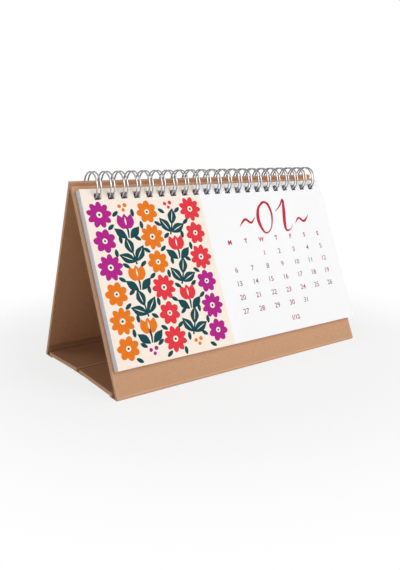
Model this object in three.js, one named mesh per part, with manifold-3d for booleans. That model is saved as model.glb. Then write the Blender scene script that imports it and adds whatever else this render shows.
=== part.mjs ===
// Easel desk calendar: two kraft-wrapped boards and a creased base make a tent, and a twin-loop
// wire binds twelve punched leaves to the front board and carries the back board.
// Millimetres, +Z up, the leaves face -Y, and the origin is under the middle of the stand.

import * as THREE from 'three';
import { mergeVertices } from 'three/addons/utils/BufferGeometryUtils.js';
import Module from 'manifold-3d';

const wasm = await Module();
wasm.setup();

// Layers of one wrapped board: a greyboard core between a kraft wrap and a kraft liner.
const CORE = 1.5;
const PAPER = 0.3;
const GLUE = 0.1;
const BOARD = CORE + 2 * (PAPER + GLUE);

// The stand.
const BOARD_WIDTH = 190.5;
const STAND_DEPTH = 97.6;
const FRONT_LENGTH = 119.8;
const FRONT_LEAN = THREE.MathUtils.degToRad(22.6);
const BASE_TILT = THREE.MathUtils.degToRad(1.9);
const HINGE_GROOVE = 5;
const MID_GROOVE = 3.8;
const CREASE_STRIP_WIDTH = 9;
const MID_STRIP_WIDTH = 12;

// The leaves.
const LEAF_COUNT = 12;
const LEAF = 0.3;
const LEAF_PITCH = 0.4;
const LEAF_WIDTH = 189.5;
const LEAF_HEIGHT = 102;
const LEAF_SHIFT = 1.2;
const LEAF_DROP = 3.4;
const STACK_GAP = 0.1;

// The punching and the wire.
const LOOP_PITCH = 8.467;
const LOOP_MARGIN = 8;
const HOLE = 4;
const FRONT_HOLE_DROP = 8;
const BACK_HOLE_DROP = 6.15;
const HOLE_PLAY = 0.25;
const WIRE = 0.9;
const WIRE_RADIUS = WIRE / 2;
const LOOP_RADIUS = 8.2;
const LOOP_SETBACK = 0.5;
const TWIN_SPACING = 2.26;
const BACK_HANG = THREE.MathUtils.degToRad(-25);
const BACK_SAG = 0.45;
const SPINE_BEND = 1;
const SPINE_ANGLE = THREE.MathUtils.degToRad(-54);
const TIP_GAP = 1.6;
const WIRE_SIDES = 5;
const LEG_STEPS = 14;
const TIP_STEPS = 4;
const BEND_STEPS = 2;

// Places that follow from the sizes, in the plane of the stand's end (y, z).
const hingeHeight = PAPER + GLUE + BOARD / 2;
const foot = ((BOARD / 2) * (Math.sin(FRONT_LEAN) - 1)) / Math.cos(FRONT_LEAN);
const hingeInset = (BOARD / 2) * Math.cos(FRONT_LEAN) - foot * Math.sin(FRONT_LEAN);
const frontHinge = new THREE.Vector2(-STAND_DEPTH / 2 + hingeInset, hingeHeight);
const backHinge = new THREE.Vector2(STAND_DEPTH / 2 - hingeInset, hingeHeight);

const stackDepth = STACK_GAP + (LEAF_COUNT - 1) * LEAF_PITCH + LEAF;
const frontTop = foot + FRONT_LENGTH;
const frontHoleHeight = frontTop - FRONT_HOLE_DROP;
const loopForward = stackDepth / 2 - LOOP_SETBACK;
const loopRise = LOOP_RADIUS + WIRE_RADIUS + HOLE_PLAY - HOLE / 2;
const loopCentre = fromPanel(frontHinge, -FRONT_LEAN, -BOARD / 2 - loopForward, frontHoleHeight + loopRise);

const backSeat = onLoop(BACK_HANG);
const backLean = Math.atan2(backHinge.x - backSeat.x, backSeat.y - backHinge.y);
const backHoleHeight = backHinge.distanceTo(backSeat) + BACK_SAG;
const backTop = backHoleHeight + BACK_HOLE_DROP;

const baseHalf = STAND_DEPTH / 2 - hingeInset;
const baseLength = baseHalf / Math.cos(BASE_TILT) - HINGE_GROOVE - MID_GROOVE / 2;

const leafTop = frontTop - LEAF_DROP;
const overhang = Math.max(0, LEAF_SHIFT + (LEAF_WIDTH - BOARD_WIDTH) / 2);
const halfRow = Math.min(BOARD_WIDTH / 2 - LEAF_SHIFT, LEAF_WIDTH / 2) - LOOP_MARGIN;
const loopCount = Math.floor((2 * halfRow) / LOOP_PITCH) + 1;

// A point given along and across a leaning panel, as a place in the end plane.
function fromPanel(hinge, turn, across, along) {
  return new THREE.Vector2(
    hinge.x + across * Math.cos(turn) - along * Math.sin(turn),
    hinge.y + across * Math.sin(turn) + along * Math.cos(turn),
  );
}

// The place on the loops' circle at a turn from +Y, where a board's holes hang on the wire.
function onLoop(turn) {
  const arm = new THREE.Vector2(Math.cos(turn), Math.sin(turn));
  return arm.multiplyScalar(LOOP_RADIUS).add(loopCentre);
}

const kraft = () => new THREE.MeshStandardMaterial({ color: 0xc69672, roughness: 0.85, metalness: 0 });
const kraftLiner = () => new THREE.MeshStandardMaterial({ color: 0xb98a66, roughness: 0.88, metalness: 0 });
const greyboard = () => new THREE.MeshStandardMaterial({ color: 0x9a948a, roughness: 0.95, metalness: 0 });
const card = () => new THREE.MeshStandardMaterial({ color: 0xf6f6f6, roughness: 0.6, metalness: 0 });
const wireSteel = () => new THREE.MeshStandardMaterial({ color: 0xd9dadd, roughness: 0.3, metalness: 0.9 });

function toSolid(geometry) {
  const bare = geometry.index ? geometry.toNonIndexed() : geometry.clone();
  bare.deleteAttribute('normal');
  bare.deleteAttribute('uv');
  const merged = mergeVertices(bare, 1e-4);
  return new wasm.Manifold(new wasm.Mesh({
    numProp: 3,
    vertProperties: new Float32Array(merged.attributes.position.array),
    triVerts: new Uint32Array(merged.index.array),
  }));
}

function toGeometry(solid) {
  const mesh = solid.getMesh();
  const geometry = new THREE.BufferGeometry();
  geometry.setAttribute('position', new THREE.BufferAttribute(mesh.vertProperties, 3));
  geometry.setIndex(new THREE.BufferAttribute(mesh.triVerts, 1));
  geometry.computeVertexNormals();
  return geometry;
}

function piece(name, geometry, material) {
  const mesh = new THREE.Mesh(geometry, material);
  mesh.name = name;
  return mesh;
}

// Middle of each punched hole across the width, measured from the middle of the boards.
function holePlaces() {
  const first = LEAF_SHIFT - ((loopCount - 1) / 2) * LOOP_PITCH;
  return Array.from({ length: loopCount }, (_, i) => first + i * LOOP_PITCH);
}

// An upright sheet: width along X, low to high along Z, and near to far along Y.
function sheet({ width, shift = 0, low, high, near, far }) {
  const slab = new THREE.BoxGeometry(width, far - near, high - low);
  slab.translate(shift, (near + far) / 2, (low + high) / 2);
  return toSolid(slab);
}

// The square punches of the whole row, long enough to go through anything in the binding.
function punches(height) {
  const reach = stackDepth + 2 * BOARD;
  const row = holePlaces().map((x) => {
    const tool = new THREE.BoxGeometry(HOLE, 2 * reach, HOLE);
    return toSolid(tool.translate(x, 0, height));
  });
  return row.reduce((all, tool) => all.add(tool));
}

// One wrapped board, drawn upright with its outer face towards -Y (side -1) or +Y (side 1): the
// wrap is a tray that turns over all four edges, the core lies in it, and the liner closes it.
function wrappedBoard(prefix, side, low, high, tools = null) {
  const layer = (from, to) => {
    const faces = [side * (BOARD / 2 - from), side * (BOARD / 2 - to)];
    return { near: Math.min(...faces), far: Math.max(...faces) };
  };
  const rim = PAPER + GLUE;
  const inside = { width: BOARD_WIDTH - 2 * rim, low: low + rim, high: high - rim };
  const pocketSize = { width: BOARD_WIDTH - 2 * PAPER, low: low + PAPER, high: high - PAPER };
  const pocket = sheet({ ...pocketSize, ...layer(PAPER, BOARD + PAPER) });
  const wrap = sheet({ width: BOARD_WIDTH, low, high, ...layer(0, BOARD) }).subtract(pocket);
  const core = sheet({ ...inside, ...layer(rim, rim + CORE) });
  const liner = sheet({ ...inside, ...layer(BOARD - PAPER, BOARD) });
  const punched = (solid) => toGeometry(tools ? solid.subtract(tools) : solid);
  const board = new THREE.Group();
  board.add(piece(`${prefix}_wrap`, punched(wrap), kraft()));
  board.add(piece(`${prefix}_core`, punched(core), greyboard()));
  board.add(piece(`${prefix}_liner`, punched(liner), kraftLiner()));
  return board;
}

// Stands a group on a hinge line and turns it about the X axis.
function hang(group, hinge, turn) {
  group.position.set(0, hinge.x, hinge.y);
  group.rotation.x = turn;
  return group;
}

function leafStack(tools) {
  const stack = new THREE.Group();
  for (let place = 0; place < LEAF_COUNT; place += 1) {
    const behind = -BOARD / 2 - STACK_GAP - place * LEAF_PITCH;
    const leaf = sheet({
      width: LEAF_WIDTH,
      shift: LEAF_SHIFT,
      low: leafTop - LEAF_HEIGHT,
      high: leafTop,
      near: behind - LEAF,
      far: behind,
    });
    const number = String(LEAF_COUNT - place).padStart(2, '0');
    stack.add(piece(`leaf_${number}`, toGeometry(leaf.subtract(tools)), card()));
  }
  return stack;
}

// A level strip of kraft paper along a crease: its width, its middle line and its top face.
function creaseStrip(name, width, middle, top) {
  const strip = new THREE.BoxGeometry(BOARD_WIDTH, width, PAPER);
  strip.translate(0, middle, top - PAPER / 2);
  return piece(name, strip, kraft());
}

// Points of a bend on the unrolled cylinder of the loops: round the given middle, in mm of arc
// length (around) and of width (x), from one turn angle to another.
function bend(around, x, radius, from, to, steps) {
  return Array.from({ length: steps + 1 }, (_, i) => {
    const turn = from + ((to - from) * i) / steps;
    return { around: around + radius * Math.cos(turn), x: x + radius * Math.sin(turn) };
  });
}

// The middle line of the wire on the unrolled cylinder: every loop goes once round from the
// spine to its tip, turns back beside itself, and runs along the spine to the next loop.
function wireLine() {
  const spine = SPINE_ANGLE * LOOP_RADIUS;
  const half = TWIN_SPACING / 2;
  const tip = spine + 2 * Math.PI * LOOP_RADIUS - TIP_GAP - half;
  const legStart = spine + SPINE_BEND;
  const leg = (from, to, x) => Array.from({ length: LEG_STEPS - 1 }, (_, i) => (
    { around: from + ((to - from) * (i + 1)) / LEG_STEPS, x }
  ));
  const quarter = Math.PI / 2;
  return holePlaces().flatMap((x, i) => {
    const rootIn = bend(legStart, x - half - SPINE_BEND, SPINE_BEND, 2 * quarter, quarter, BEND_STEPS);
    const rootOut = bend(legStart, x + half + SPINE_BEND, SPINE_BEND, -quarter, -2 * quarter, BEND_STEPS);
    return [
      ...(i === 0 ? [{ around: legStart, x: x - half }] : rootIn),
      ...leg(legStart, tip, x - half),
      ...bend(tip, x, half, -quarter, quarter, TIP_STEPS),
      ...leg(tip, legStart, x + half),
      ...(i === loopCount - 1 ? [{ around: legStart, x: x + half }] : rootOut),
    ];
  });
}

// A point of the unrolled line rolled round the loops' middle, with its outward direction.
function rolled({ around, x }) {
  const angle = around / LOOP_RADIUS;
  const out = new THREE.Vector3(0, Math.cos(angle), Math.sin(angle));
  const middle = new THREE.Vector3(0, loopCentre.x, loopCentre.y);
  return { out, at: middle.addScaledVector(out, LOOP_RADIUS).setX(x) };
}

// The least gap of the wire to itself, on its points, leaving out near neighbours along it.
function leastSelfGap(points) {
  const run = [0];
  points.forEach((p, i) => {
    if (i > 0) run.push(run[i - 1] + p.distanceTo(points[i - 1]));
  });
  const near = (Math.PI * TWIN_SPACING) / 2;
  let least = Infinity;
  for (let i = 0; i < points.length; i += 1) {
    for (let j = i + 1; j < points.length; j += 1) {
      if (run[j] - run[i] > near) least = Math.min(least, points[i].distanceTo(points[j]));
    }
  }
  return least - WIRE;
}

// One unbroken tube: a ring of points square to the line at each of its points, and two caps.
function wireTube() {
  const line = wireLine().map(rolled);
  const points = line.map(({ at }) => at);
  console.log(`twin_loop_wire: least gap to itself ${leastSelfGap(points).toFixed(2)} mm`);
  const vertices = [];
  const faces = [];
  line.forEach(({ at, out }, i) => {
    const before = points[Math.max(i - 1, 0)];
    const after = points[Math.min(i + 1, points.length - 1)];
    const along = after.clone().sub(before).normalize();
    const side = along.clone().cross(out).normalize();
    const up = side.clone().cross(along).normalize();
    for (let k = 0; k < WIRE_SIDES; k += 1) {
      const turn = (2 * Math.PI * k) / WIRE_SIDES;
      const spot = at.clone()
        .addScaledVector(up, WIRE_RADIUS * Math.cos(turn))
        .addScaledVector(side, WIRE_RADIUS * Math.sin(turn));
      vertices.push(...spot.toArray());
    }
  });
  const ringAt = (i, k) => i * WIRE_SIDES + (k % WIRE_SIDES);
  for (let i = 0; i + 1 < line.length; i += 1) {
    for (let k = 0; k < WIRE_SIDES; k += 1) {
      const [a, b] = [ringAt(i, k), ringAt(i, k + 1)];
      const [c, d] = [ringAt(i + 1, k), ringAt(i + 1, k + 1)];
      faces.push(a, b, c, b, d, c);
    }
  }
  const last = line.length - 1;
  for (let k = 1; k + 1 < WIRE_SIDES; k += 1) {
    faces.push(ringAt(0, 0), ringAt(0, k + 1), ringAt(0, k));
    faces.push(ringAt(last, 0), ringAt(last, k), ringAt(last, k + 1));
  }
  const geometry = new THREE.BufferGeometry();
  geometry.setAttribute('position', new THREE.Float32BufferAttribute(vertices, 3));
  geometry.setIndex(faces);
  geometry.computeVertexNormals();
  return geometry;
}

const frontPunches = punches(frontHoleHeight);
const frontLeg = wrappedBoard('front_board', -1, foot, frontTop, frontPunches);
frontLeg.add(leafStack(frontPunches));
const backLeg = wrappedBoard('back_board', 1, foot, backTop, punches(backHoleHeight));
const baseEnd = HINGE_GROOVE + baseLength;
const baseFront = wrappedBoard('base_front', 1, HINGE_GROOVE, baseEnd);
const baseBack = wrappedBoard('base_back', -1, HINGE_GROOVE, baseEnd);
const baseTurn = Math.PI / 2 - BASE_TILT;
const cornerMiddle = (STAND_DEPTH - CREASE_STRIP_WIDTH) / 2;
const baseUnderside = hingeHeight - BOARD / 2 / Math.cos(BASE_TILT);
const midStripTop = baseUnderside + (baseHalf - MID_STRIP_WIDTH / 2) * Math.tan(BASE_TILT) - GLUE;

const calendar = new THREE.Group();
calendar.position.x = -overhang / 2;
calendar.add(
  hang(frontLeg, frontHinge, -FRONT_LEAN),
  hang(backLeg, backHinge, backLean),
  hang(baseFront, frontHinge, -baseTurn),
  hang(baseBack, backHinge, baseTurn),
  creaseStrip('front_crease', CREASE_STRIP_WIDTH, -cornerMiddle, PAPER),
  creaseStrip('back_crease', CREASE_STRIP_WIDTH, cornerMiddle, PAPER),
  creaseStrip('mid_crease', MID_STRIP_WIDTH, 0, midStripTop),
  piece('twin_loop_wire', wireTube(), wireSteel()),
);

export default calendar;
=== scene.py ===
"""Looks of the easel desk calendar: kraft boards, creased papers, printed leaves and the wire."""

import logging
import math
from collections import defaultdict
from collections.abc import Sequence
from dataclasses import dataclass
from enum import Enum

import bmesh
import bpy
from bmesh.types import BMesh, BMVert
from bpy.types import Material, NodeSocket, NodeTree, Object
from mathutils import Matrix, Vector


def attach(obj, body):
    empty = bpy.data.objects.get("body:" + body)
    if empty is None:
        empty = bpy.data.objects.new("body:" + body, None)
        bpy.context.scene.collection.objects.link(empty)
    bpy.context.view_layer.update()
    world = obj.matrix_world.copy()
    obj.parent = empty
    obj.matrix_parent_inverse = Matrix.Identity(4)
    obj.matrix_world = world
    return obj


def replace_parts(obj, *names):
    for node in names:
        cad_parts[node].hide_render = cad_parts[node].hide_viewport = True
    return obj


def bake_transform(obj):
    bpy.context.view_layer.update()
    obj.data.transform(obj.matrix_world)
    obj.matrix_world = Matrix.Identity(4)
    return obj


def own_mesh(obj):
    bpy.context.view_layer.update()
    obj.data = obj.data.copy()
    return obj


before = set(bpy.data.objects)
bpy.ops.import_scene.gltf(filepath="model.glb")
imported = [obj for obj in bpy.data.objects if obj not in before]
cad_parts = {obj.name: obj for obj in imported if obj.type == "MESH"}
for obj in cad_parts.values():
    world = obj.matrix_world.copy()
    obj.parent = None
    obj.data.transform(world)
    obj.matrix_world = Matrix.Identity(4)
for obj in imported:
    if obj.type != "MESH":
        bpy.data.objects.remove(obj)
LOG = logging.getLogger("calendar")
MM = 0.001
Colour = tuple[float, float, float]
Point = tuple[float, float]
Knot = tuple[float, float, float]

# Colour of the wrap, and of the linings in the grooves
KRAFT: Colour = (0.56, 0.318, 0.182)
GROOVE_KRAFT: Colour = (0.44, 0.235, 0.126)

# Half widths of wrap, liners and groove linings, and how far left their middle lies, in mm
WRAP_HALF = 95.25
LINER_HALF = 94.85
GROOVE_HALF = 94.6
SHIFT = 0.35

# Direction along the binding, and number of leaves
ALONG = (1, 0, 0)
LEAVES = 12


class Tone(Enum):
    """Inks of the print, each with its linear colour."""

    ORANGE = (0.785, 0.184, 0.008)
    MAGENTA = (0.43, 0.013, 0.237)
    CORAL = (0.745, 0.036, 0.055)
    TEAL = (0.002, 0.057, 0.067)
    CREAM = (0.93, 0.84, 0.70)
    TITLE_RED = (0.50, 0.026, 0.050)
    DATE_RED = (0.31, 0.050, 0.085)
    HEAD_RED = (0.40, 0.028, 0.065)


class Motif(Enum):
    """Plain garden motifs that the panel repeats."""

    DAISY = 0
    TULIP = 1
    BUTTON = 2
    SPRIG = 3


# Radius, in mm, and number of petals of the two round flowers
FLOWERS = {Motif.DAISY: (7.7, 9), Motif.BUTTON: (6.9, 7)}


@dataclass(frozen=True)
class Sock:
    """One shader value that takes part in Python sums.

    Attributes:
        graph: The node graph that the value belongs to.
        out: The output socket that carries it.
    """

    graph: "Graph"
    out: NodeSocket

    def _math(self, kind: str, *values: "Sock | float") -> "Sock":
        """Adds one Math node."""
        return self.graph.node("Math", dict(enumerate(values)), operation=kind)

    def _vector(self, kind: str, out: str, *others: Sequence[float]) -> "Sock":
        """Adds one Vector Math node, whose first value is this vector."""
        return self.graph.node("VectorMath", dict(enumerate((self, *others))), out, operation=kind)

    def __add__(self, other: "Sock | float") -> "Sock":
        """Sum."""
        return self._math("ADD", self, other)

    __radd__ = __add__

    def __sub__(self, other: "Sock | float") -> "Sock":
        """Difference."""
        return self._math("SUBTRACT", self, other)

    def __rsub__(self, other: float) -> "Sock":
        """Difference from a number."""
        return self._math("SUBTRACT", other, self)

    def __mul__(self, other: "Sock | float") -> "Sock":
        """Product."""
        return self._math("MULTIPLY", self, other)

    def __gt__(self, other: "Sock | float") -> "Sock":
        """1 where this value is the larger."""
        return self._math("GREATER_THAN", self, other)

    def __lt__(self, other: "Sock | float") -> "Sock":
        """1 where this value is the smaller."""
        return self._math("LESS_THAN", self, other)

    def __abs__(self) -> "Sock":
        """Size without its sign."""
        return self._math("ABSOLUTE", self)

    def least(self, other: "Sock | float") -> "Sock":
        """The smaller of two values."""
        return self._math("MINIMUM", self, other)

    def ramp(self, low: float, high: float, start: float = 0.0, end: float = 1.0) -> "Sock":
        """Smooth step of this value.

        Args:
            low: Value that gives start.
            high: Value that gives end.
            start: Result at and below low.
            end: Result at and above high.

        Returns:
            The stepped value.
        """
        values = {0: self, 1: low, 2: high, 3: start, 4: end}
        return self.graph.node("MapRange", values, interpolation_type="SMOOTHSTEP")

    def dot(self, axis: Sequence[float]) -> "Sock":
        """Length of this vector along an axis."""
        return self._vector("DOT_PRODUCT", "Value", tuple(axis))

    def length(self) -> "Sock":
        """Length of this vector."""
        return self._vector("LENGTH", "Value")

    def stretch(self, factors: Sequence[float]) -> "Sock":
        """This vector times a factor on each axis."""
        return self._vector("MULTIPLY", "Vector", tuple(factors))


@dataclass(frozen=True)
class Graph:
    """Node graph of one material or of the world.

    Attributes:
        tree: Its node tree.
    """

    tree: NodeTree

    def node(self, kind: str, inputs: dict | None = None, out: int | str = 0, **settings: str) -> Sock:
        """Adds one shader node.

        Args:
            kind: Node type.
            inputs: Values or links by socket name or number.
            out: Output that is wanted.
            settings: Attributes that are set first.

        Returns:
            The wanted output.
        """
        made = self.tree.nodes.new(f"ShaderNode{kind}")
        for key, value in settings.items():
            setattr(made, key, value)
        for key, value in (inputs or {}).items():
            self.feed(made.inputs[key], value)
        return Sock(self, made.outputs[out])

    def feed(self, socket: NodeSocket, value: "Sock | float | Sequence[float]") -> None:
        """Links or sets one socket.

        Args:
            socket: The socket.
            value: Its new value.
        """
        if isinstance(value, Sock):
            self.tree.links.new(value.out, socket)
        else:
            socket.default_value = value

    def place(self) -> Sock:
        """Place on the object, in metres."""
        return self.node("TexCoord", out="Object")

    def facing(self) -> Sock:
        """Outward direction of the surface in the object's own space."""
        return self.node("TexCoord", out="Normal")

    def noise(self, at: Sock, scale: float, detail: float = 2.0, rough: float = 0.5) -> Sock:
        """Noise from 0 to 1.

        Args:
            at: Place that is read.
            scale: Cells to the metre.
            detail: Octaves.
            rough: Weight of the finer octaves.

        Returns:
            The noise value.
        """
        values = {"Vector": at, "Scale": scale, "Detail": detail, "Roughness": rough}
        return self.node("TexNoise", values, "Fac", noise_dimensions="3D")

    def blend(self, share: "Sock | float", first: "Sock | Colour", second: "Sock | Colour") -> Sock:
        """Mixes two colours.

        Args:
            share: 0 for the first and 1 for the second.
            first: First colour.
            second: Second colour.

        Returns:
            The mixed colour.
        """
        sides = [c if isinstance(c, Sock) else (*c, 1.0) for c in (first, second)]
        values = {0: share, 6: sides[0], 7: sides[1]}
        return self.node("Mix", values, 2, data_type="RGBA")

    def bump(self, height: Sock, distance: float, strength: float = 1.0) -> None:
        """Feeds a height, in metres times distance, to the shader's normal."""
        values = {"Height": height, "Distance": distance, "Strength": strength}
        self.set(Normal=self.node("Bump", values))

    def set(self, **values: "Sock | float") -> None:
        """Sets or links sockets of the Principled shader, their names written with underscores."""
        for key, value in values.items():
            self.feed(self.tree.nodes["Principled BSDF"].inputs[key.replace("_", " ")], value)

    def bright(self, kind: str, strength: float) -> Sock:
        """Adds a white Emission or Background shader."""
        return self.node(kind, {"Color": (1, 1, 1, 1), "Strength": strength})

    def seen(self) -> Sock:
        """1 where the camera looks, straight, mirrored or through glass, and 0 for other light."""
        rays = ("Camera", "Glossy", "Transmission")
        return sum(self.node("LightPath", out=f"Is {ray} Ray") for ray in rays).least(1.0)

    def show(self, output: str, share: Sock, first: Sock, second: Sock) -> None:
        """Mixes two shaders and shows them.

        Args:
            output: Name of the tree's output node.
            share: 0 for the first and 1 for the second.
            first: First shader.
            second: Second shader.
        """
        mixed = self.node("MixShader", {0: share, 1: first, 2: second})
        self.feed(self.tree.nodes[output].inputs["Surface"], mixed)


@dataclass(frozen=True)
class Panel:
    """A flat part's own frame: x along the binding, up along its face, out from its face.

    Attributes:
        foot: (y, z) of the frame's origin, in mm.
        lean: Degrees that its up axis leans back from upright.
    """

    foot: Point
    lean: float

    @property
    def up(self) -> Vector:
        """Direction up along the face."""
        turn = math.radians(self.lean)
        return Vector((0, math.sin(turn), math.cos(turn)))

    @property
    def out(self) -> Vector:
        """Direction out of the face, towards the reader."""
        turn = math.radians(self.lean)
        return Vector((0, -math.cos(turn), math.sin(turn)))

    def matrix(self) -> Matrix:
        """From a flat drawing on the face, in mm, to metres in the row's frame."""
        axes = Matrix((ALONG, self.up, self.out)).transposed().to_4x4()
        return Matrix.Translation(Vector((0, *self.foot)) * MM) @ axes @ Matrix.Scale(MM, 4)

    def spot(self, along: float, out: float) -> Point:
        """Place (y, z), in mm, of a point along the face and out from it."""
        at = Vector((0, *self.foot)) + self.up * along + self.out * out
        return at.y, at.z

    def along(self, at: Sock) -> Sock:
        """Shader length up the face from the foot, in metres."""
        return at.dot(self.up) - Vector((0, *self.foot)).dot(self.up) * MM


def scaled(colour: Colour, *factors: float) -> Colour:
    """A colour times one factor, or one for each channel, and no brighter than white."""
    each = factors if len(factors) == 3 else factors * 3
    return tuple(min(1.0, c * k) for c, k in zip(colour, each))


class Finish:
    """A finish that turns into a material; each kind paints its own nodes."""

    def build(self, name: str) -> Material:
        """Makes the material.

        Args:
            name: Name of the material.

        Returns:
            The finished material.
        """
        material = bpy.data.materials.new(name)
        material.use_nodes = True
        g = Graph(material.node_tree)
        self.paint(g, g.place())
        return material

    def paint(self, g: Graph, at: Sock) -> None:
        """Adds the nodes.

        Args:
            g: Graph of the material.
            at: Place on the object.
        """
        raise NotImplementedError


@dataclass(frozen=True)
class KraftFinish(Finish):
    """Unbleached kraft paper with fibres, flecks and worn edges.

    Attributes:
        colour: Main linear colour.
        panel: Frame that the fibres run along.
        half_width: Half of the board's width, in mm.
        ends: Low and high end along the face, in mm.
        wear: How much lighter the edges are.
    """

    colour: Colour = KRAFT
    panel: Panel = Panel((0, 0), 0)
    half_width: float = WRAP_HALF
    ends: Point = (-200, 200)
    wear: float = 0.5

    def paint(self, g: Graph, at: Sock) -> None:
        """Adds the nodes.

        Args:
            g: Graph of the material.
            at: Place on the object.
        """
        fibres = g.noise(at.stretch((0.28, 1, 1)), 2100, 3, 0.6)
        cross = g.noise(at.stretch((1, 0.3, 0.3)), 1500, 2, 0.55)
        cloud = g.noise(at, 38, 3, 0.55)
        light = scaled(self.colour, 1.13, 1.16, 1.20)
        dark = scaled(self.colour, 0.86, 0.83, 0.79)
        tone = g.blend(fibres.ramp(0.34, 0.68), dark, light)
        tone = g.blend(cloud.ramp(0.3, 0.7, 0.25, 0.6), self.colour, tone)
        tone = g.blend(cross.ramp(0.60, 0.78, 0.0, 0.35), tone, light)
        fleck = g.noise(at.stretch((0.6, 1, 1)), 1250, 1)
        tone = g.blend(fleck.ramp(0.74, 0.80, 0.0, 0.6), tone, scaled(self.colour, 0.5))
        side = self.half_width * MM - abs(at.dot(ALONG) + SHIFT * MM)
        along = self.panel.along(at)
        end = (along - self.ends[0] * MM).least(self.ends[1] * MM - along)
        edge = side.least(end) + (cloud - 0.5) * 0.0006
        rub = edge.ramp(0.0001, 0.0011, self.wear, 0.0)
        pale = scaled(self.colour, 1.32, 1.42, 1.55)
        tone = g.blend(rub, tone, pale)
        g.set(Base_Color=tone, Roughness=fibres.ramp(0.3, 0.7, 0.74, 0.9), Specular_IOR_Level=0.3)
        g.bump(fibres * 0.7 + cross * 0.3, 0.00006, 0.55)


@dataclass(frozen=True)
class GreyboardFinish(Finish):
    """Pressed grey board, seen on the walls of the punched holes."""

    colour: Colour = (0.33, 0.29, 0.25)

    def paint(self, g: Graph, at: Sock) -> None:
        """Adds the nodes.

        Args:
            g: Graph of the material.
            at: Place on the object.
        """
        pulp = g.noise(at, 1700, 4, 0.65)
        tone = g.blend(pulp.ramp(0.3, 0.7), scaled(self.colour, 0.8), scaled(self.colour, 1.2))
        g.set(Base_Color=tone, Roughness=pulp.ramp(0.3, 0.7, 0.88, 0.98))
        g.bump(pulp, 0.0001, 0.6)


@dataclass(frozen=True)
class CardFinish(Finish):
    """Smooth white card with cut edges tinted lilac as painted shade, and a cream printed ground on part of
    its front.

    Attributes:
        colour: Linear colour of the faces.
        edge: Linear colour of the cut edges, a lilac tint of painted shade.
        ground: Linear colours of the cream ground.
        panel: Frame of the leaf's front face.
        ground_to: Where the cream ground ends, in mm along the binding; below -90 for none.
    """

    colour: Colour = (0.915, 0.915, 0.925)
    edge: Colour = (0.93, 0.90, 0.985)
    ground: tuple[Colour, Colour] = ((0.94, 0.835, 0.735), (0.905, 0.79, 0.68))
    panel: Panel = Panel((0, 0), 22.6)
    ground_to: float = -200.0

    def paint(self, g: Graph, at: Sock) -> None:
        """Adds the nodes.

        Args:
            g: Graph of the material.
            at: Place on the object.
        """
        grain = g.noise(at, 1400, 3, 0.6)
        cloud = g.noise(at, 24)
        tone = g.blend(grain.ramp(0.3, 0.7, 0.0, 0.6), self.colour, scaled(self.colour, 0.985))
        tone = g.blend(cloud.ramp(0.35, 0.7, 0.0, 0.5), tone, scaled(self.colour, 0.975))
        facing = g.facing().dot(self.panel.out)
        inked = (at.dot(ALONG) < self.ground_to * MM) * (facing > 0.5)
        tone = g.blend(inked, tone, g.blend(grain.ramp(0.3, 0.7), *self.ground))
        burr = g.noise(at.stretch((1, 0.4, 0.4)), 2600)
        # The cut edges take the lilac edge colour, a painted shade tint; burr varies it at random.
        side = g.blend(burr.ramp(0.3, 0.7), self.edge, scaled(self.edge, 0.8))
        g.set(Base_Color=g.blend(abs(facing) < 0.5, tone, side), Roughness=grain.ramp(0.3, 0.7, 0.52, 0.64))
        g.bump(grain, 0.00002, 0.4)


@dataclass(frozen=True)
class InkFinish(Finish):
    """Matt offset ink on card: even colour with a faint mottle of the paper under it."""

    tone: Tone

    def paint(self, g: Graph, at: Sock) -> None:
        """Adds the nodes.

        Args:
            g: Graph of the material.
            at: Place on the object.
        """
        mottle = g.noise(at, 900, 3, 0.6)
        soft = tuple(min(1.0, c * 1.08 + 0.006) for c in self.tone.value)
        tone = g.blend(mottle.ramp(0.35, 0.7), self.tone.value, soft)
        g.set(Base_Color=tone, Roughness=mottle.ramp(0.3, 0.7, 0.6, 0.72), Specular_IOR_Level=0.12)
        g.bump(mottle, 0.00001, 0.4)


@dataclass(frozen=True)
class WireFinish(Finish):
    """Silver-coated steel wire, bright on its front, with painted dark reflection on its sides and on top.

    Attributes:
        colour: Linear colour of the coat, seen on its front.
        painted_reflection_and_rub: Linear colour of the painted dark reflection on the sides and top, and
            of rubbed spots.
    """

    colour: Colour = (0.66, 0.665, 0.68)
    painted_reflection_and_rub: Colour = (0.15, 0.152, 0.158)

    def paint(self, g: Graph, at: Sock) -> None:
        """Adds the nodes.

        Args:
            g: Graph of the material.
            at: Place on the object.
        """
        drawn = g.noise(at.stretch((1, 0.2, 0.2)), 3200)
        rub = g.noise(at, 420)
        out = g.facing()
        # The sides and the top take the dark colour as painted reflection; rub adds darker spots at random.
        side = abs(out.dot(ALONG)).ramp(0.45, 0.95, 0.0, 0.85)
        top = out.dot((0, 0, 1)).ramp(0.35, 0.85, 0.0, 0.7)
        tone = g.blend(side, self.colour, self.painted_reflection_and_rub)
        tone = g.blend(top, tone, self.painted_reflection_and_rub)
        tone = g.blend(rub.ramp(0.45, 0.8, 0.0, 0.35), tone, self.painted_reflection_and_rub)
        g.set(Base_Color=tone, Metallic=1.0, Roughness=drawn.ramp(0.3, 0.7, 0.22, 0.36))
        g.bump(drawn, 0.00001, 0.5)


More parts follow.
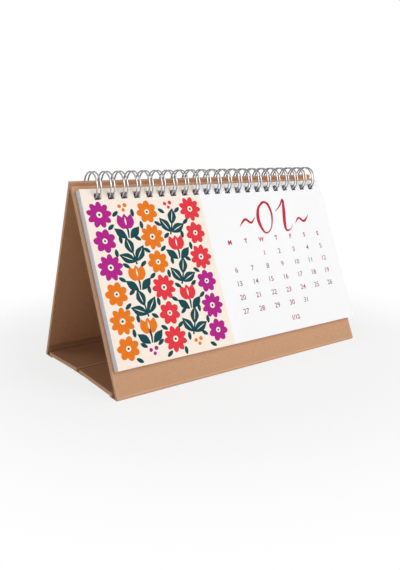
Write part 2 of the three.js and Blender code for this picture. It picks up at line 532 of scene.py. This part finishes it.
@dataclass(frozen=True)
class FloorFinish(Finish):
    """White table top that keeps a soft shadow of the calendar.

    Attributes:
        glow: Share of plain white that is seen near the calendar.
        reach: Distances from the middle, in metres, between which it grows to 1.
    """

    glow: float = 0.78
    reach: Point = (0.10, 0.24)

    def paint(self, g: Graph, at: Sock) -> None:
        """Adds the nodes.

        Args:
            g: Graph of the material.
            at: Place on the object.
        """
        haze = g.noise(at, 6)
        g.set(Base_Color=g.blend(haze, (0.80, 0.80, 0.80), (0.82, 0.82, 0.82)), Roughness=0.9)
        share = g.seen() * at.length().ramp(*self.reach, self.glow, 1.0)
        lit = Sock(g, g.tree.nodes["Principled BSDF"].outputs[0])
        g.show("Material Output", share, lit, g.bright("Emission", 1.0))


def add_object(name: str, data: bpy.types.ID) -> Object:
    """Puts a new object into the scene.

    Args:
        name: Name of the object.
        data: What it holds.

    Returns:
        The new object.
    """
    made = bpy.data.objects.new(name, data)
    bpy.context.scene.collection.objects.link(made)
    return made


def take_mesh(shape: BMesh, curve: bpy.types.Curve, move: Matrix) -> None:
    """Turns a curve or a text into faces of a mesh.

    Args:
        shape: The mesh.
        curve: The curve or text, which is removed.
        move: Where its faces go.
    """
    drawn = add_object("drawn", curve)
    mesh = bpy.data.meshes.new_from_object(drawn.evaluated_get(bpy.context.evaluated_depsgraph_get()))
    mesh.transform(move)
    shape.from_mesh(mesh)
    bpy.data.objects.remove(drawn)
    bpy.data.curves.remove(curve)
    bpy.data.meshes.remove(mesh)


def make_object(name: str, shape: BMesh, material: Material, smooth: bool = False) -> Object:
    """Turns a finished bmesh into an object at the origin.

    Args:
        name: Name of the piece.
        shape: Mesh in metres, in the row's frame; it is freed.
        material: Finish of the piece.
        smooth: Whether its faces are shaded smooth.

    Returns:
        The new object.
    """
    mesh = bpy.data.meshes.new(name)
    for face in shape.faces:
        face.smooth = smooth
    shape.to_mesh(mesh)
    shape.free()
    mesh.materials.append(material)
    LOG.info("%s: %d faces", name, len(mesh.polygons))
    return add_object(name, mesh)


def dress(node: str, material: Material) -> None:
    """Gives a CAD node its finish."""
    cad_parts[node].data.materials.clear()
    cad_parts[node].data.materials.append(material)


def curve_through(knots: Sequence[Sequence[float]], share: float) -> list[float]:
    """Smooth curve through knots (Catmull-Rom).

    Args:
        knots: Knots of any number of coordinates.
        share: 0 at the first knot and 1 at the last.

    Returns:
        The coordinates there.
    """
    spot = min(share, 0.999999) * (len(knots) - 1)
    i, t = int(spot), spot - int(spot)
    a, b, c, d = (knots[max(0, min(len(knots) - 1, k))] for k in range(i - 1, i + 3))
    return [
        0.5 * (2 * q + (r - p) * t + (2 * p - 5 * q + 4 * r - s) * t**2 + (3 * q - p - 3 * r + s) * t**3)
        for p, q, r, s in zip(a, b, c, d)
    ]


class Inks:
    """Flat shapes of one print, drawn in mm on a leaf, one thin closed solid each."""

    # Thickness of an ink, height of the first one over the face, and step from level to level
    THICKNESS, LIFT, LEVEL_STEP = 0.02, 0.01, 0.024
    # Step that keeps neighbours apart, and the number of shapes before it starts again
    SHAPE_STEP, SHAPE_CYCLE = 0.0012, 16
    # Share of the type's size that a numeral takes, least width of a stroke, and taper of an oval
    NUMERAL, HAIRLINE, PINCH = 0.70, 0.04, 1.6

    def __init__(self) -> None:
        """Starts an empty print."""
        self.shapes = 0
        self.layers: dict[Tone, BMesh] = defaultdict(bmesh.new)

    def _place(self, tone: Tone, verts: list[BMVert], middle: Point, turn: float, level: int = 0) -> None:
        """Turns and moves new flat verts, lifts them to their level and gives them thickness.

        Args:
            tone: Ink.
            verts: The new verts, round their own origin.
            middle: Where that origin goes.
            turn: Degrees they are turned.
            level: Layer over the first ink.
        """
        shape = self.layers[tone]
        self.shapes += 1
        lift = self.LIFT + level * self.LEVEL_STEP + self.shapes % self.SHAPE_CYCLE * self.SHAPE_STEP
        move = Matrix.Translation((*middle, lift)) @ Matrix.Rotation(math.radians(turn), 4, "Z")
        bmesh.ops.transform(shape, matrix=move, verts=verts)
        faces = list({face for vert in verts for face in vert.link_faces})
        bmesh.ops.recalc_face_normals(shape, faces=faces)
        if faces[0].normal.z > 0:
            bmesh.ops.reverse_faces(shape, faces=faces)
        made = bmesh.ops.extrude_face_region(shape, geom=faces, use_keep_orig=True)["geom"]
        tops = [item for item in made if isinstance(item, BMVert)]
        bmesh.ops.translate(shape, vec=(0, 0, self.THICKNESS), verts=tops)
        fresh = list({face for vert in verts + tops for face in vert.link_faces})
        bmesh.ops.recalc_face_normals(shape, faces=fresh)

    def drop(
        self, tone: Tone, middle: Point, size: Point, turn: float = 0.0, taper: Point = (1.0, 1.0),
        level: int = 0, sides: int = 18,
    ) -> None:
        """Draws an oval, petal or leaf shape.

        Args:
            tone: Ink.
            middle: Middle of the shape.
            size: Length along its own x, and width.
            turn: Degrees it is turned.
            taper: Width share left at its near and far half; 0 gives a point.
            level: Layer over the first ink.
            sides: Points of its outline.
        """
        shape = self.layers[tone]
        verts = bmesh.ops.create_circle(shape, cap_ends=True, segments=sides, radius=1)["verts"]
        for vert in verts:
            x, y = vert.co.x, vert.co.y
            share = taper[0] if x < 0 else taper[1]
            pinch = 1 - (1 - share) * abs(x) ** self.PINCH
            vert.co.x, vert.co.y = x * size[0] / 2, y * pinch * size[1] / 2
        self._place(tone, verts, middle, turn, level)

    def stroke(
        self, tone: Tone, knots: Sequence[Knot], middle: Point, turn: float = 0.0, steps: int = 16
    ) -> None:
        """Draws a brush stroke.

        Args:
            tone: Ink.
            knots: (x, y, width) of the stroke's middle line.
            middle: Where its own origin lies.
            turn: Degrees it is turned.
            steps: Steps along it.
        """
        shape = self.layers[tone]
        verts = bmesh.ops.create_grid(shape, x_segments=steps, y_segments=1, size=0.5)["verts"]
        nudge = 0.01
        for vert in verts:
            share, side = vert.co.x + 0.5, 1 if vert.co.y > 0 else -1
            x, y, width = curve_through(knots, share)
            ahead = Vector(curve_through(knots, min(1, share + nudge))[:2])
            behind = Vector(curve_through(knots, max(0, share - nudge))[:2])
            across = (ahead - behind).normalized().orthogonal() * side * max(width, self.HAIRLINE) / 2
            vert.co.x, vert.co.y = x + across.x, y + across.y
        self._place(tone, verts, middle, turn)

    def write(self, tone: Tone, words: str, middle: Point, height: float, weight: float) -> None:
        """Writes plain numerals or initials.

        Args:
            tone: Ink.
            words: What is written.
            middle: Middle of the text.
            height: Height of a numeral.
            weight: How much each stroke is fattened on each side.
        """
        font = bpy.data.curves.new("type", "FONT")
        font.body, font.size = words, height / self.NUMERAL
        font.align_x, font.align_y = "CENTER", "CENTER"
        font.offset, font.extrude, font.resolution_u = weight, self.THICKNESS / 2, 4
        move = Matrix.Translation((*middle, self.LIFT + self.THICKNESS / 2))
        take_mesh(self.layers[tone], font, move)

    def lay(self, prefix: str, panel: Panel, body: str) -> None:
        """Lays the finished print on a leaf.

        Args:
            prefix: Start of the pieces' names.
            panel: Frame of the leaf's face.
            body: Body that the leaf rides on.
        """
        for tone, shape in self.layers.items():
            bmesh.ops.remove_doubles(shape, verts=shape.verts, dist=1e-5)
            bmesh.ops.transform(shape, matrix=panel.matrix(), verts=shape.verts)
            name = f"{prefix}_{tone.name.lower()}"
            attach(make_object(name, shape, InkFinish(tone).build(name)), body)


@dataclass(frozen=True)
class Grid:
    """Columns and rows of a print, in mm.

    Attributes:
        left: First column along the binding.
        top: First row below the leaf's top.
        step: Step between columns and between rows.
    """

    left: float
    top: float
    step: Point

    def spot(self, column: float, row: float) -> Point:
        """Place of a column and a row."""
        return self.left + column * self.step[0], -self.top - row * self.step[1]


@dataclass
class FloralPanel:
    """Half-drop field of plain garden motifs on the left of a leaf.

    Attributes:
        inks: Its print.
        grid: Places of the motifs.
        columns: Number of columns.
        rows: Number of rows.
        shift: Turns the order of motifs and inks.
        petals: Inks of the flowers.
    """

    inks: Inks
    grid: Grid = Grid(-85.1, 15.3, (15.4, 15.2))
    columns: int = 5
    rows: int = 6
    shift: int = 0
    petals: tuple[Tone, ...] = (Tone.MAGENTA, Tone.ORANGE, Tone.CORAL)

    def daisy(self, at: Point, tone: Tone, radius: float, count: int) -> None:
        """Round flower with plain petals.

        Args:
            at: Middle of the flower.
            tone: Ink of its petals.
            radius: Outer radius.
            count: Number of petals.
        """
        reach, length = radius * 0.56, radius * 0.9
        width = 2.1 * math.pi * radius * 0.68 / count
        for i in range(count):
            turn = 360 * i / count + at[0] * 7
            angle = math.radians(turn)
            spot = (at[0] + reach * math.cos(angle), at[1] + reach * math.sin(angle))
            self.inks.drop(tone, spot, (length, width), turn, (0.45, 1.0))
        rounds = ((tone, length), (Tone.CREAM, radius * 0.46), (Tone.TEAL, radius * 0.19))
        for level, (ink, size) in enumerate(rounds):
            self.inks.drop(ink, at, (size, size), level=level)

    def tulip(self, at: Point, tone: Tone) -> None:
        """Cup of three petals on a stem with two long leaves.

        Args:
            at: Middle of the motif.
            tone: Ink of the cup.
        """
        x, y = at
        self.inks.stroke(Tone.TEAL, [(0, 1, 1.2), (0.4, -3.0, 1.2), (0, -7.0, 0.8)], at)
        for side in (-1, 1):
            self.inks.drop(tone, (x + side * 2.9, y + 2.7), (9.0, 5.4), 90 - side * 17, (0.85, 0.25))
            self.inks.drop(Tone.TEAL, (x + side * 4.6, y - 4.0), (9.8, 5.0), 90 - side * 48, (0.35, 0.1))
        self.inks.drop(tone, (x, y + 2.7), (9.2, 5.6), 90, (0.9, 0.3))
        self.inks.drop(Tone.CREAM, (x, y + 2.9), (5.0, 1.1), 90, (0.4, 0.1), 1, 10)

    def sprig(self, at: Point, lean: float) -> None:
        """Curved stem with paired bold leaves and a leaf at its tip, each with a pale rib.

        Args:
            at: Middle of the motif.
            lean: Degrees that it leans.
        """
        spin = Matrix.Rotation(math.radians(lean), 2)
        self.inks.stroke(Tone.TEAL, [(-0.5, -7.6, 1.1), (0.3, 0, 0.9), (0, 5, 0.5)], at, lean)
        blades = [(side * 4.5, -2.3, 90 - side * 50, 11.0) for side in (-1, 1)]
        for across, along, turn, size in [*blades, (0.0, 4.2, 90, 10.2)]:
            spot = spin @ Vector((across, along))
            middle = (at[0] + spot.x, at[1] + spot.y)
            self.inks.drop(Tone.TEAL, middle, (size, 6.0), lean + turn, (0.6, 0.1))
            self.inks.drop(Tone.CREAM, middle, (size * 0.66, 0.6), lean + turn, (0.6, 0.1), 1, 8)

    def berries(self, at: Point, tone: Tone) -> None:
        """Three round berries.

        Args:
            at: Middle of the group.
            tone: Ink.
        """
        for x, y, size in ((-1.9, 0.4, 2.3), (1.7, 0.9, 2.5), (0.2, -1.9, 2.1)):
            self.inks.drop(tone, (at[0] + x, at[1] + y), (size, size))

    def motif(self, column: int, row: int) -> None:
        """Draws the motif of one place in the field.

        Args:
            column: Column of the place.
            row: Row of the place.
        """
        at = self.grid.spot(column, row + column % 2 / 2)
        kind = Motif((column + 2 * row + self.shift) % len(Motif))
        tone = self.petals[(column + (row + 1) // 2 + self.shift) // 2 % len(self.petals)]
        if kind in FLOWERS:
            self.daisy(at, tone, *FLOWERS[kind])
        elif kind is Motif.TULIP:
            self.tulip(at, tone)
        else:
            self.sprig(at, 14 if row % 2 else -16)

    def dashes(self) -> None:
        """Small leaves in the gaps between two columns."""
        for column in range(self.columns - 1):
            half = column % 2 / 2
            for row in range(self.rows):
                turn = 35 + 55 * ((column + row) % 3)
                for share, drop in ((0.36, 0.5 - half), (0.64, half)):
                    spot = self.grid.spot(column + share, row + drop)
                    self.inks.drop(Tone.TEAL, spot, (4.9, 2.4), turn, (0.8, 0.8), sides=12)

    def draw(self) -> None:
        """Fills the panel."""
        for column in range(self.columns):
            for row in range(self.rows - column % 2):
                self.motif(column, row)
            if column % 2:
                for row, margin, turn in ((0, 3.9, 1), (self.rows - 1, -3.6, 0)):
                    x, y = self.grid.spot(column, row)
                    self.berries((x, y + margin), self.petals[(column // 2 + turn) % len(self.petals)])
        self.dashes()


# Middle lines (x, y, width) of the brushed numerals, and of the flourish beside them, in mm
BRUSHED: dict[int, list[Knot]] = {
    0: [(1.5, 8.4, 0.7), (-3.2, 5.6, 1.9), (-5.2, -1.5, 2.7), (-2.6, -8.2, 1.3), (2.2, -6.3, 0.8),
        (5.0, 0.8, 1.5), (3.9, 7.2, 2.0), (0.2, 8.6, 1.0), (-2.6, 6.4, 0.3)],
    1: [(-5.2, 3.0, 0.4), (-1.2, 5.9, 1.0), (2.0, 9.2, 1.7), (1.0, 3.0, 2.7), (-0.6, -4.0, 2.6),
        (-0.4, -8.0, 1.7), (2.8, -7.6, 0.6), (5.2, -5.2, 0.2)],
    2: [(-4.2, 4.6, 0.7), (-1.8, 8.2, 1.2), (2.6, 7.8, 2.2), (3.4, 3.0, 2.6), (-0.6, -3.4, 1.7),
        (-4.6, -8.0, 1.0), (-0.8, -6.6, 2.0), (3.4, -8.4, 1.6), (6.2, -6.0, 0.3)],
}
FLOURISH: list[Knot] = [
    (0, -1.8, 0.3), (4.2, 1.7, 1.5), (8.4, -0.8, 1.8), (12.0, 1.3, 1.1), (14.4, 3.8, 0.2)
]


@dataclass
class MonthPage:
    """Numbers of one leaf: a brushed number, the days' initials, the days and the place in the year.

    Attributes:
        inks: Its print.
        number: Number of the leaf.
        days: Days of the month.
        first: Column of the first day.
        grid: Places of the days.
        head: Row of the initials, in mm below the leaf's top.
        middle: Middle of the brushed number along the binding.
        title: Its first numeral, from there and from the leaf's top.
        title_step: Step between its numerals.
        grow: Growth of its numerals over their drawing.
        reach: Distance of each flourish from the middle.
        depths: The right and the left flourish, from the leaf's top.
        foot: The place in the year.
        small_type: Height and weight of its type and the initials.
        day_type: Height and weight of the days.
    """

    inks: Inks
    number: int
    days: int
    first: int
    grid: Grid = Grid(1.1, 48.4, (13.3, 8.86))
    head: float = 39.2
    middle: float = 44.5
    title: Point = (-8.6, -24.6)
    title_step: float = 17.0
    grow: float = 1.25
    reach: float = 17.6
    depths: Point = (-28.6, -25.6)
    foot: Point = (41.0, -94.0)
    small_type: Point = (2.9, 0.11)
    day_type: Point = (3.3, 0.03)

    def heading(self) -> None:
        """The large brushed number with a flourish on each side."""
        for i, digit in enumerate(divmod(self.number, 10)):
            spot = (self.middle + self.title[0] + i * self.title_step, self.title[1])
            grown = [(self.grow * x, self.grow * y, width) for x, y, width in BRUSHED[digit]]
            self.inks.stroke(Tone.TITLE_RED, grown, spot, steps=56)
        for side, depth in zip((1, -1), self.depths):
            turned = [(side * x, side * y, width) for x, y, width in FLOURISH]
            self.inks.stroke(Tone.TITLE_RED, turned, (self.middle + side * self.reach, depth), steps=30)

    def draw(self) -> None:
        """Prints the whole page."""
        self.heading()
        initials = "MTWTFSS"
        for column, initial in enumerate(initials):
            spot = (self.grid.spot(column, 0)[0], -self.head)
            self.inks.write(Tone.HEAD_RED, initial, spot, *self.small_type)
        for day in range(self.days):
            row, column = divmod(day + self.first, len(initials))
            self.inks.write(Tone.DATE_RED, str(day + 1), self.grid.spot(column, row), *self.day_type)
        self.inks.write(Tone.HEAD_RED, f"{self.number}/{LEAVES}", self.foot, *self.small_type)


@dataclass
class WrappedBoard:
    """One kraft-wrapped board: softened wrap, grey core and lining.

    Attributes:
        prefix: Start of its nodes' names.
        body: Body that it rides on.
        panel: Its own frame, from its hinge.
        ends: Low and high end along it, in mm.
        lining: Linear colour of its lining.
        soften: Radius of its paper's edges, in mm.
        sharp: Angle between two faces, in radians, from which their edge is softened.
    """

    prefix: str
    body: str
    panel: Panel
    ends: Point
    lining: Colour
    soften: float = 0.09
    sharp: float = 1.0

    def wrap_copy(self) -> BMesh:
        """The wrap with soft paper edges.

        Returns:
            The mesh, in metres.
        """
        shape = bmesh.new()
        shape.from_mesh(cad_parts[f"{self.prefix}_wrap"].data)
        bmesh.ops.remove_doubles(shape, verts=shape.verts, dist=2e-6)
        bmesh.ops.dissolve_limit(shape, angle_limit=0.01, verts=shape.verts, edges=shape.edges)
        corners = [e for e in shape.edges if e.is_manifold and e.calc_face_angle_signed() > self.sharp]
        bmesh.ops.bevel(
            shape, geom=corners, offset=self.soften * MM, offset_type="OFFSET", segments=2, profile=0.5,
            affect="EDGES", material=-1, clamp_overlap=True,
        )
        bmesh.ops.triangulate(shape, faces=shape.faces)
        return shape

    def build(self) -> None:
        """Replaces the wrap, and dresses the core and the lining."""
        kraft = KraftFinish(panel=self.panel, ends=self.ends).build(f"{self.prefix}_kraft")
        paper = make_object(f"{self.prefix}_paper", self.wrap_copy(), kraft)
        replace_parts(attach(paper, self.body), f"{self.prefix}_wrap")
        lining = KraftFinish(self.lining, self.panel, LINER_HALF, self.ends, wear=0.25)
        dress(f"{self.prefix}_liner", lining.build(f"{self.prefix}_lining"))
        dress(f"{self.prefix}_core", GreyboardFinish().build(f"{self.prefix}_grey"))


@dataclass
class CreasePaper:
    """Kraft paper across the stand that bends round a crease.

    Attributes:
        name: Name of the piece.
        line: Knots (y, z) of its outer face, in mm.
        thickness: Its thickness.
        colour: Linear colour.
        side: Side of the line that its thickness lies on.
        half_width: Half of its width.
        steps: Steps round the crease.
        nodes: CAD nodes that it stands in for.
    """

    name: str
    line: Sequence[Point]
    thickness: float = 0.3
    colour: Colour = KRAFT
    side: int = 1
    half_width: float = WRAP_HALF
    steps: int = 36
    nodes: tuple[str, ...] = ()

    def build(self) -> Object:
        """Makes the paper, before it rides on anything.

        Returns:
            The paper.
        """
        shape = bmesh.new()
        verts = bmesh.ops.create_grid(shape, x_segments=1, y_segments=self.steps, size=0.5)["verts"]
        for vert in verts:
            y, z = curve_through(self.line, vert.co.y + 0.5)
            vert.co = Vector((2 * vert.co.x * self.half_width - SHIFT, y, z)) * MM
        bmesh.ops.recalc_face_normals(shape, faces=shape.faces)
        bmesh.ops.solidify(shape, geom=shape.faces, thickness=self.side * self.thickness * MM)
        bmesh.ops.recalc_face_normals(shape, faces=shape.faces)
        finish = KraftFinish(self.colour, half_width=self.half_width, wear=0.35)
        made = make_object(self.name, shape, finish.build(f"{self.name}_kraft"))
        if self.nodes:
            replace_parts(made, *self.nodes)
        return made


# Outer face (y, z) of a bottom corner's wrap, for the back corner, in mm
CORNER_WRAP = (
    (48.77, 1.27), (48.78, 0.92), (48.68, 0.46), (48.40, 0.15), (48.0, 0.03), (46.6, 0.01), (43.2, 0.01),
    (39.8, 0.01),
)
# A corner's lining: places up the leaning board, then places along the base and how far they rise
LEG_PART = (6.6, 4.4, 2.4)
BASE_PART = (
    (1.5, -0.75), (2.4, -1.12), (3.9, -1.15), (4.68, -0.7), (4.84, 0.6), (5.25, 1.22), (6.6, 1.17),
    (8.6, 1.17),
)
# The middle crease: places across its wrap, and the line (y, z) of its lining
MIDDLE_WRAP = (-6.0, -3.0, -1.0, 0.0, 1.0, 3.0, 6.0)
MIDDLE_LINING = ((1.80, 3.6), (1.80, 2.6), (1.74, 2.05), (1.2, 1.91), (0.0, 1.90), (-1.5, 1.90))


@dataclass
class Easel:
    """The four boards and the papers that hinge them.

    Attributes:
        hinge: Distance of each bottom hinge from the middle, and its height, in mm.
        leans: Lean of the front and of the back board, in degrees.
        tilt: Rise of each base half towards the middle crease, in degrees.
        board: Thickness of a board.
        tops: Upper end of the front and of the back board, in mm from the hinge.
        base_ends: Ends of each base half, in mm from the hinge.
        foot: Lower end of the leaning boards, in mm from the hinge.
        crown: Height of the middle crease's wrap, in mm.
        leg_lining: Linear colour of the leaning boards' lining.
        base_lining_painted_shade: Linear colour of the base's kraft lining, darkened as painted shade.
    """

    hinge: Point = (47.4436, 1.55)
    leans: Point = (22.6, 22.8669)
    tilt: float = 1.9
    board: float = 2.3
    tops: Point = (119.033, 122.274)
    base_ends: Point = (5.0, 45.57)
    foot: float = -0.767
    crown: float = 1.78
    leg_lining: Colour = (0.58, 0.30, 0.155)
    # The base's kraft lining is darkened as painted shade.
    base_lining_painted_shade: Colour = (0.39, 0.20, 0.103)

    def build(self) -> None:
        """Builds the boards and their creases."""
        reach, height = self.hinge
        for side, name, lean, top in zip((-1, 1), ("front", "back"), self.leans, self.tops):
            leg = Panel((side * reach, height), -side * lean)
            base = Panel((side * reach, height), side * (self.tilt - 90))
            boards = (
                (f"{name}_board", f"{name}_leg", leg, (self.foot, top), self.leg_lining),
                (f"base_{name}", f"base_{name}_half", base, self.base_ends, self.base_lining_painted_shade),
            )
            for board in boards:
                WrappedBoard(*board).build()
            self.corner(name, leg, base, side)
        self.middle()

    def corner(self, name: str, leg: Panel, base: Panel, side: int) -> None:
        """Papers of one bottom corner: the wrap outside and the lining inside.

        Args:
            name: Which corner.
            leg: Frame of the leaning board.
            base: Frame of the base's half.
            side: -1 for the front and 1 for the back.
        """
        outer = [(side * y, z) for y, z in CORNER_WRAP]
        wrap = CreasePaper(f"{name}_crease_paper", outer, side=side, nodes=(f"{name}_crease",)).build()
        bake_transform(wrap)
        over = self.board / 2 + 0.02
        inner = [leg.spot(along, side * over) for along in LEG_PART]
        inner += [base.spot(along, -side * rise) for along, rise in BASE_PART]
        lining = CreasePaper(f"{name}_crease_lining", inner, 0.12, GROOVE_KRAFT, side, GROOVE_HALF).build()
        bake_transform(lining)

    def middle(self) -> None:
        """Papers of the crease in the middle of the base."""
        rise = math.tan(math.radians(self.tilt))
        under = [(y, self.crown - abs(y) * rise) for y in MIDDLE_WRAP]
        wrap = CreasePaper("mid_crease_paper", under, 0.28, side=-1, nodes=("mid_crease",)).build()
        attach(wrap, "base_front_half")
        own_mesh(wrap)
        lining = CreasePaper(
            "mid_crease_lining", MIDDLE_LINING, 0.1, GROOVE_KRAFT, half_width=GROOVE_HALF
        ).build()
        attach(lining, "base_back_half")


@dataclass
class LeafBlock:
    """The twelve leaves, the first two with their print.

    Attributes:
        face: (y, z) of the top edge of the first leaf's front face, in mm.
        lean: Its lean, in degrees.
        pitch: Step from leaf to leaf, in mm.
        ground_to: Where the cream ground ends, in mm along the binding.
        months: Body, number of days and first column of each printed leaf.
    """

    face: Point = (-8.499, 110.590)
    lean: float = 22.6
    pitch: float = 0.4
    ground_to: float = -13.7
    months: tuple[tuple[str, int, int], ...] = (("first_leaf", 31, 2), ("front_leg", 28, 5))

    def panel(self, leaf: int) -> Panel:
        """Frame of a leaf's front face, from its top edge."""
        at = Vector((0, *self.face)) - Panel(self.face, self.lean).out * self.pitch * (leaf - 1)
        return Panel((at.y, at.z), self.lean)

    def build(self) -> None:
        """Dresses the leaves and prints the first two."""
        plain = CardFinish(panel=self.panel(1)).build("leaf_card")
        printed = CardFinish(panel=self.panel(1), ground_to=self.ground_to).build("leaf_card_printed")
        for leaf in range(1, LEAVES + 1):
            dress(f"leaf_{leaf:02d}", printed if leaf <= len(self.months) else plain)
        for leaf, (body, days, first) in enumerate(self.months, 1):
            inks = Inks()
            FloralPanel(inks, shift=leaf - 1).draw()
            MonthPage(inks, leaf, days, first).draw()
            inks.lay(f"leaf_{leaf:02d}_print", self.panel(leaf), body)


@dataclass
class TwinLoopWire:
    """One unbroken wire bent into 21 twin loops.

    Attributes:
        centre: (y, z) of the loops' middle, in mm.
        radius: Radius of the loops' middle line.
        wire: Thickness of the wire.
        pitch: Step between loops.
        loops: Number of loops.
        spacing: Distance between the two wires of a loop.
        spine: Where the spine lies round the loop, in degrees.
        spine_bend: Radius of the bends between spine and loops.
        tip_gap: Distance of the loops' tips from the spine.
        middle: Middle of the binding along it.
        leg_steps: Steps along each wire of a loop.
        bend_steps: Steps of a bend at the spine and at a tip.
    """

    centre: Point = (-4.9382, 111.5991)
    radius: float = 8.185
    wire: float = 0.9
    pitch: float = 8.467
    loops: int = 21
    spacing: float = 2.26
    spine: float = -54.0
    spine_bend: float = 1.0
    tip_gap: float = 1.6
    middle: float = 0.85
    leg_steps: int = 30
    bend_steps: tuple[int, int] = (5, 9)

    def arc(self, around: float, x: float, radius: float, turns: Point, steps: int) -> list[Point]:
        """Points of a bend on the unrolled loops.

        Args:
            around: Middle of the bend, in mm round the loop.
            x: Middle of the bend along the binding.
            radius: Its radius.
            turns: First and last angle, in radians.
            steps: Steps of the bend.

        Returns:
            Its points (around, x).
        """
        angles = [turns[0] + (turns[1] - turns[0]) * i / steps for i in range(steps + 1)]
        return [(around + radius * math.cos(a), x + radius * math.sin(a)) for a in angles]

    def line(self) -> list[Point]:
        """The whole wire on the unrolled loops.

        Returns:
            Its points (around, x), in mm.
        """
        low = math.radians(self.spine) * self.radius
        half, bend, quarter = self.spacing / 2, self.spine_bend, math.pi / 2
        spine_steps, tip_steps = self.bend_steps
        tip = low + 2 * math.pi * self.radius - self.tip_gap - half
        foot = low + bend
        legs = [foot + (tip - foot) * k / self.leg_steps for k in range(1, self.leg_steps)]
        points: list[Point] = []
        for i in range(self.loops):
            x = self.middle + (i - (self.loops - 1) / 2) * self.pitch
            points += self.arc(foot, x - half - bend, bend, (2 * quarter, quarter), spine_steps)
            points += [(around, x - half) for around in legs]
            points += self.arc(tip, x, half, (-quarter, quarter), tip_steps)
            points += [(around, x + half) for around in reversed(legs)]
            points += self.arc(foot, x + half + bend, bend, (-quarter, -2 * quarter), spine_steps)
        return points[spine_steps:-spine_steps]

    def build(self) -> None:
        """Makes the wire in place of its plainer CAD form."""
        curve = bpy.data.curves.new("binding", "CURVE")
        curve.dimensions, curve.bevel_depth, curve.bevel_resolution = "3D", self.wire / 2 * MM, 3
        curve.use_fill_caps = True
        line = self.line()
        spline = curve.splines.new("POLY")
        spline.points.add(len(line) - 1)
        for point, (around, x) in zip(spline.points, line):
            turn = around / self.radius
            y = self.centre[0] + self.radius * math.cos(turn)
            z = self.centre[1] + self.radius * math.sin(turn)
            point.co = (x * MM, y * MM, z * MM, 1)
        shape = bmesh.new()
        take_mesh(shape, curve, Matrix())
        bmesh.ops.remove_doubles(shape, verts=shape.verts, dist=1e-6)
        bmesh.ops.recalc_face_normals(shape, faces=shape.faces)
        made = make_object("wire_binding", shape, WireFinish().build("silver_wire"), smooth=True)
        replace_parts(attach(made, "front_leg"), "twin_loop_wire")


@dataclass
class Studio:
    """Table, soft lights and the camera.

    Attributes:
        eye: Camera's place, in mm.
        heading: Degrees that it looks right of straight back.
        dip: Degrees that it looks down.
        focal: Focal length, in pixels.
        frame_height: Height of the picture, in pixels.
        sensor: Height of the sensor, in mm.
        aim: Place that the lamps face, in metres.
        dim: Strength of the surroundings as a light.
        table: Half the table's width, and its depth under the calendar, in metres.
    """

    eye: tuple[float, float, float] = (-238.5, -318.4, 130.2)
    heading: float = 36.24
    dip: float = 12.36
    focal: float = 603.5
    frame_height: float = 570
    sensor: float = 36.0
    aim: tuple[float, float, float] = (0, 0, 0.05)
    dim: float = 0.25
    table: Point = (6, 0.00005)

    def lamp(self, name: str, at: Sequence[float], power: float, size: float) -> None:
        """Adds one soft lamp aimed at the calendar.

        Args:
            name: Name of the lamp.
            at: Its place, in metres.
            power: Watts.
            size: Width, in metres.
        """
        light = bpy.data.lights.new(name, "AREA")
        light.energy, light.shape, light.size = power, "DISK", size
        made = add_object(name, light)
        made.location = at
        made.rotation_euler = (Vector(self.aim) - Vector(at)).to_track_quat("-Z", "Y").to_euler()

    def world(self) -> None:
        """White surroundings that light the calendar gently."""
        world = bpy.data.worlds.new("studio")
        world.use_nodes = True
        bpy.context.scene.world = world
        g = Graph(world.node_tree)
        first, second = g.bright("Background", self.dim), g.bright("Background", 1.0)
        g.show("World Output", g.seen(), first, second)

    def build(self) -> None:
        """Sets the table, the lights and the camera."""
        shape = bmesh.new()
        bmesh.ops.create_grid(shape, x_segments=1, y_segments=1, size=self.table[0])
        bmesh.ops.translate(shape, vec=(0, 0, -self.table[1]), verts=shape.verts)
        make_object("table_top", shape, FloorFinish().build("table_white"))
        self.world()
        self.lamp("key", (0.35, -0.95, 0.50), 7.7, 0.9)
        self.lamp("fill", (-0.85, -0.55, 0.40), 2.0, 0.6)
        self.lamp("rim", (-0.7, 0.7, 0.7), 1.2, 0.4)
        lens = bpy.data.cameras.new("camera")
        lens.sensor_fit, lens.sensor_height = "VERTICAL", self.sensor
        lens.lens = self.focal / self.frame_height * self.sensor
        lens.clip_start = 0.01
        camera = add_object("camera", lens)
        camera.location = Vector(self.eye) * MM
        camera.rotation_euler = (math.radians(90 - self.dip), 0, math.radians(-self.heading))
        bpy.context.scene.camera = camera
        bpy.context.scene.view_settings.view_transform = "Standard"


def main() -> None:
    """Builds the calendar and its studio."""
    logging.basicConfig(level=logging.INFO, format="%(message)s")
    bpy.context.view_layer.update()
    Studio().build()
    Easel().build()
    LeafBlock().build()
    TwinLoopWire().build()


if __name__ == "__main__":
    main()
